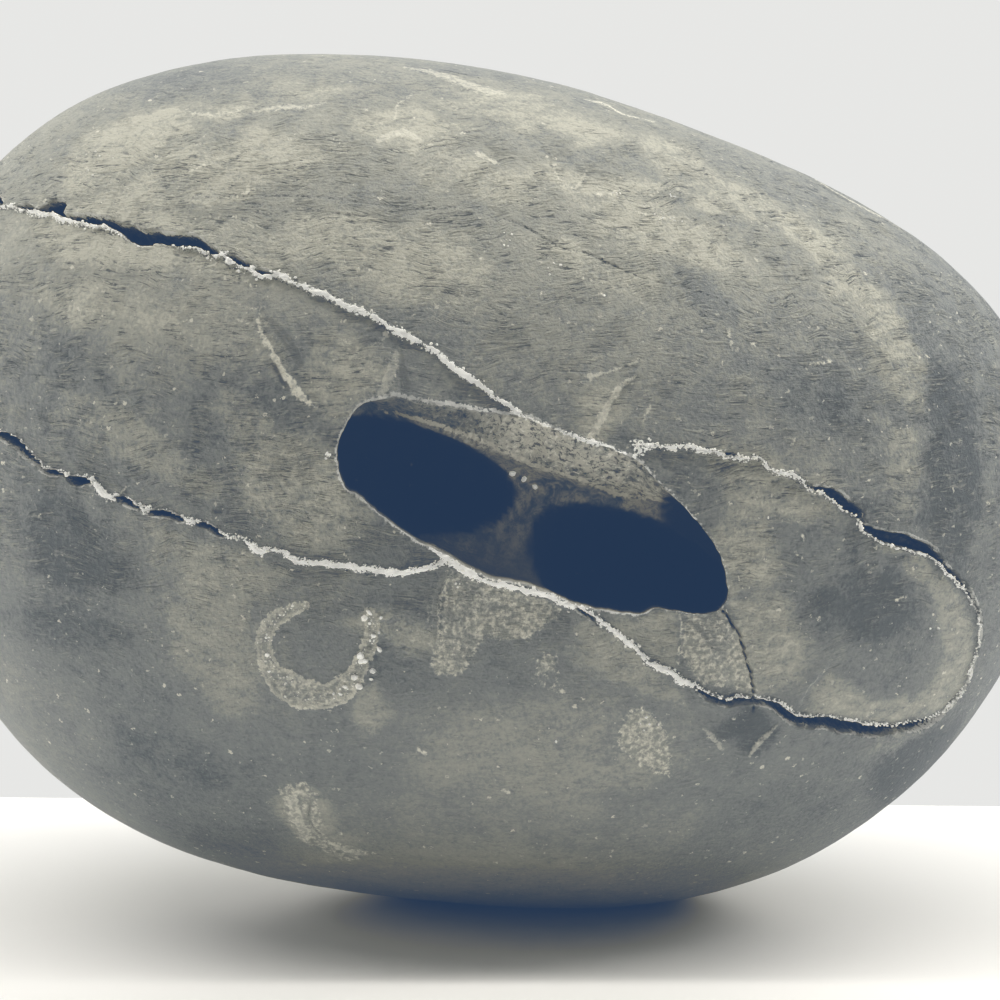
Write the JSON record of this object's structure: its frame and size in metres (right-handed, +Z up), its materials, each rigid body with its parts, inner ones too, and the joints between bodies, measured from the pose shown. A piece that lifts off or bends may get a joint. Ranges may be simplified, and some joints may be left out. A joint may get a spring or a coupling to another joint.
{
  "type": "shaligram stone",
  "caption": "River-worn black ammonite nodule lying on its side, with a broken-open fossil hollow, cracked seams and white calcite veins.",
  "frame": {"origin": "middle of the stone's footprint box, on the surface that it rests on", "axes": "+X along the long way, towards the end with the rounded lobe; -Y is the side with the hollow; +Z up"},
  "size_m": [0.0993, 0.063, 0.0736],
  "materials": {
    "shale": "river-worn, dull satin, with white calcite in the seams"
  },
  "bodies": {
    "root": {"shaligram_stone": "shale"}
  },
  "joints": []
}
